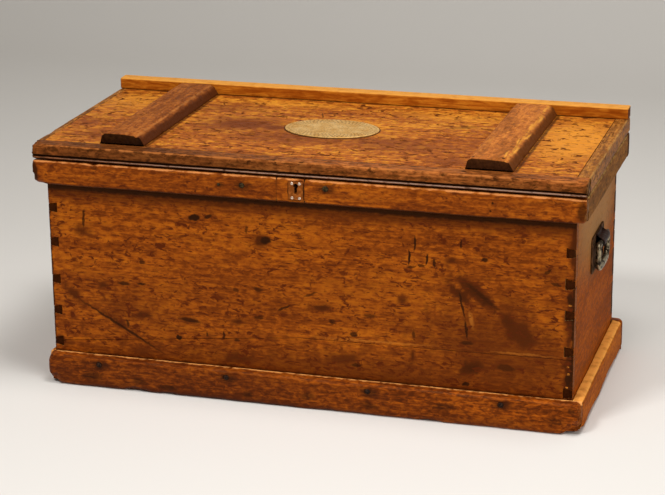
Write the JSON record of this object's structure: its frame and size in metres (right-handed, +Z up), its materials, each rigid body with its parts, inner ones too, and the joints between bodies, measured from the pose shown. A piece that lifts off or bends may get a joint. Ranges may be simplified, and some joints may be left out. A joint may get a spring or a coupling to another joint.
{
  "type": "sea chest",
  "caption": "Dovetailed pine sea chest on a plinth, with a battened hinged lid, oval brass plaque, box lock, iron stop hinges and iron drop handles on the ends.",
  "frame": {"origin": "on the floor, under the middle of the whole object's box", "axes": "+X to the right along the chest's length, +Y to the back, +Z up; the front with the keyhole faces -Y"},
  "size_m": [0.968, 0.4646, 0.4601],
  "materials": {
    "wall_pine": "old waxed pine, satin",
    "inner_pine": "bare planed pine, matt",
    "plinth_pine": "stained waxed pine, worn edges",
    "lid_pine": "waxed pine, rubbed bright",
    "rail_pine": "waxed pine, satin",
    "batten_wood": "dark stained, waxed",
    "brass": "dull tarnished brass",
    "dark_iron": "blackened wrought iron",
    "bright_steel": "bright rubbed heads",
    "spring_steel": "dull grey steel"
  },
  "bodies": {
    "case": {"front_board_lower": "wall_pine", "front_board_upper": "wall_pine", "back_board_lower": "wall_pine", "back_board_upper": "wall_pine", "left_end_board": "wall_pine", "right_end_board": "wall_pine", "bottom_board_1": "inner_pine", "bottom_board_2": "inner_pine", "bottom_board_3": "inner_pine", "plinth_front": "plinth_pine", "plinth_back": "plinth_pine", "plinth_left": "plinth_pine", "plinth_right": "plinth_pine", "plinth_nail_1": "dark_iron", "plinth_nail_2": "dark_iron", "plinth_nail_3": "dark_iron", "plinth_nail_4": "dark_iron", "rim_band_front_left": "wall_pine", "rim_band_front_right": "wall_pine", "keyhole_patch": "wall_pine", "rim_band_back": "wall_pine", "rim_band_left": "wall_pine", "rim_band_right": "wall_pine", "rim_nail_1": "dark_iron", "rim_nail_2": "dark_iron", "rim_nail_3": "dark_iron", "scutcheon": "brass", "scutcheon_pin_1": "bright_steel", "scutcheon_pin_2": "bright_steel", "scutcheon_pin_3": "bright_steel", "scutcheon_pin_4": "bright_steel", "lock_case": "dark_iron", "lock_cover": "dark_iron", "key_pin": "spring_steel", "lock_ward": "spring_steel", "left_hinge_case_leaf": "dark_iron", "left_hinge_pin": "dark_iron", "right_hinge_case_leaf": "dark_iron", "right_hinge_pin": "dark_iron", "left_handle_plate": "dark_iron", "left_handle_keeper": "dark_iron", "right_handle_plate": "dark_iron", "right_handle_keeper": "dark_iron"},
    "lid": {"lid_front_edge": "lid_pine", "lid_left_edge": "lid_pine", "lid_right_edge": "lid_pine", "lid_board_front": "lid_pine", "lid_board_back": "lid_pine", "lid_back_rail": "rail_pine", "left_batten": "batten_wood", "right_batten": "batten_wood", "plaque": "brass", "lock_strike": "dark_iron", "left_hinge_lid_leaf": "dark_iron", "right_hinge_lid_leaf": "dark_iron"},
    "lock_bolt": {"lock_bolt": "spring_steel", "bolt_spring": "spring_steel"},
    "left_handle": {"left_handle_bail": "dark_iron"},
    "right_handle": {"right_handle_bail": "dark_iron"}
  },
  "joints": [
    {"name": "lid_hinge", "type": "hinge", "parent": "case", "child": "lid", "pos_m": [0, 0.22226, 0.4124], "axis": [-1, 0, 0], "range_deg": [0, 105]},
    {"name": "lock_bolt_slide", "type": "slide", "parent": "case", "child": "lock_bolt", "axis": [1, 0, 0], "range_m": [0, 0.008]},
    {"name": "left_handle_swing", "type": "hinge", "parent": "case", "child": "left_handle", "pos_m": [-0.476, -0.00584, 0.278], "axis": [0, 1, 0], "range_deg": [-2, 184]},
    {"name": "right_handle_swing", "type": "hinge", "parent": "case", "child": "right_handle", "pos_m": [0.476, -0.00584, 0.278], "axis": [0, -1, 0], "range_deg": [-2, 184]}
  ]
}
